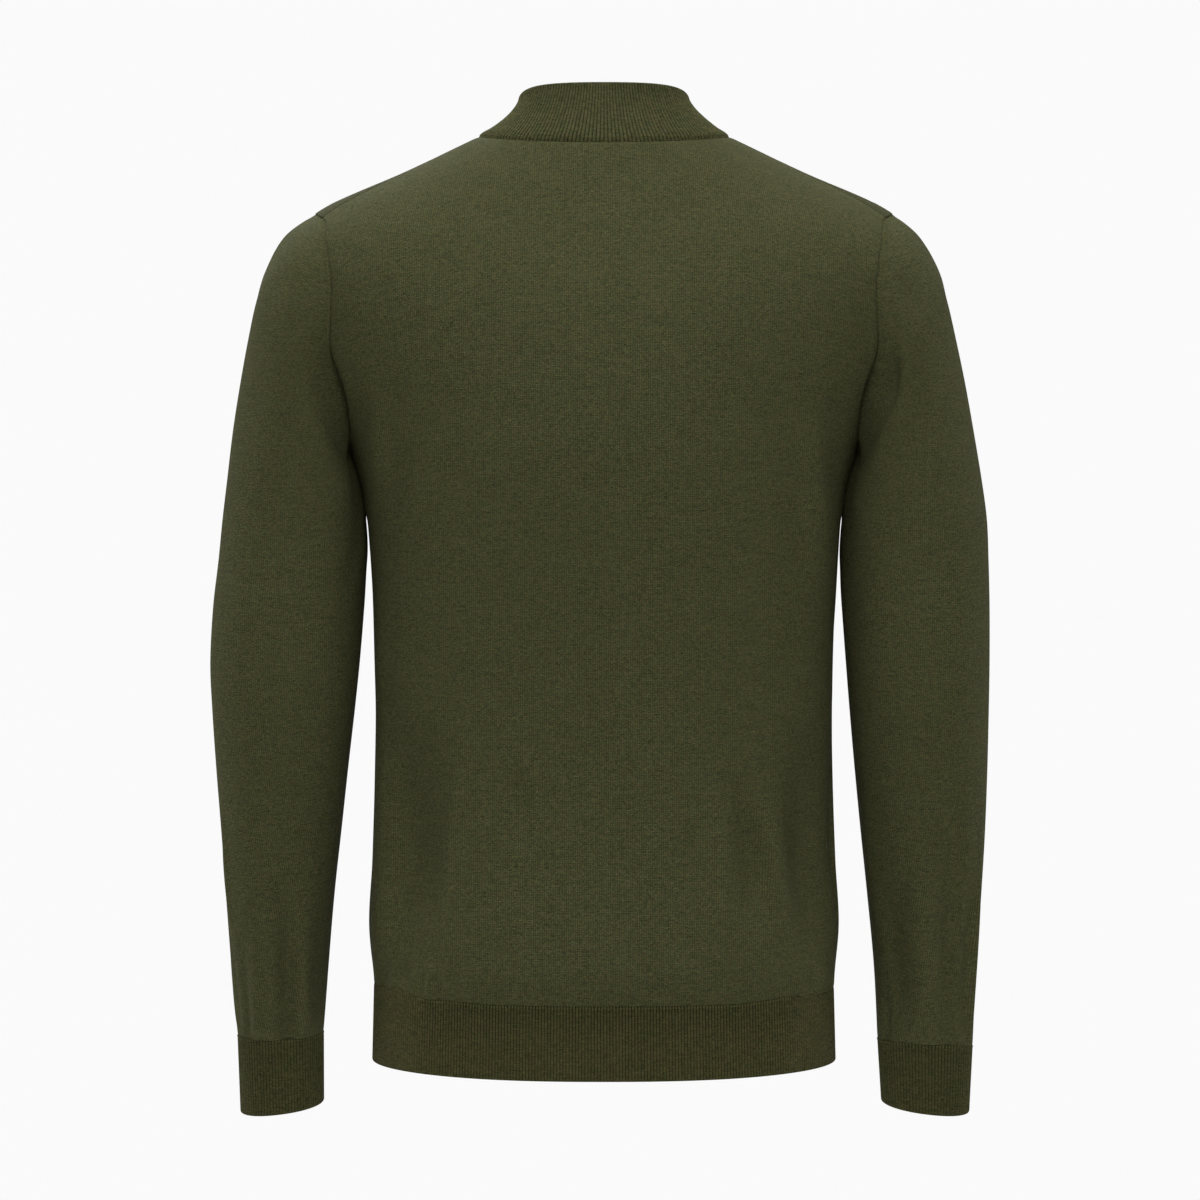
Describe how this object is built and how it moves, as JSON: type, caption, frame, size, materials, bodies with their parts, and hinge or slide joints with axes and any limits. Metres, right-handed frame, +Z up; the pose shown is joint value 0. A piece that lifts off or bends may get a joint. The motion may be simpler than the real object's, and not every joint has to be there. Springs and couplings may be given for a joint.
{
  "type": "quarter zip sweater",
  "caption": "Fine knit sweater with a standing rib collar, a short front zip, set-in sleeves, rib cuffs and a rib hem band, hollow as when worn.",
  "frame": {"origin": "midway between the two points where the collar's seam crosses the tops of the shoulders", "axes": "+Z up, -Y to the front (the zip's side), +X to the wearer's left"},
  "size_m": [0.5719, 0.2446, 0.7547],
  "materials": {
    "knit": "fine olive green jersey knit",
    "rib": "olive green 1x1 rib knit",
    "tape": "woven zip tape",
    "zip_metal": "dull nickel"
  },
  "bodies": {
    "garment": {"back_panel": "knit", "front_panel": "knit", "sleeve_left": "knit", "sleeve_right": "knit", "collar": "rib", "hem_band": "rib", "cuff_left": "rib", "cuff_right": "rib", "zip_tape_left": "tape", "zip_tape_right": "tape", "zip_chain": "zip_metal", "zip_slider": "zip_metal"},
    "pull_tab": {"zip_pull_tab": "zip_metal"}
  },
  "joints": [
    {"name": "tab_swing", "type": "hinge", "parent": "garment", "child": "pull_tab", "pos_m": [0, -0.07414, -0.0246], "axis": [-1, 0, 0], "range_deg": [0, 150]}
  ]
}
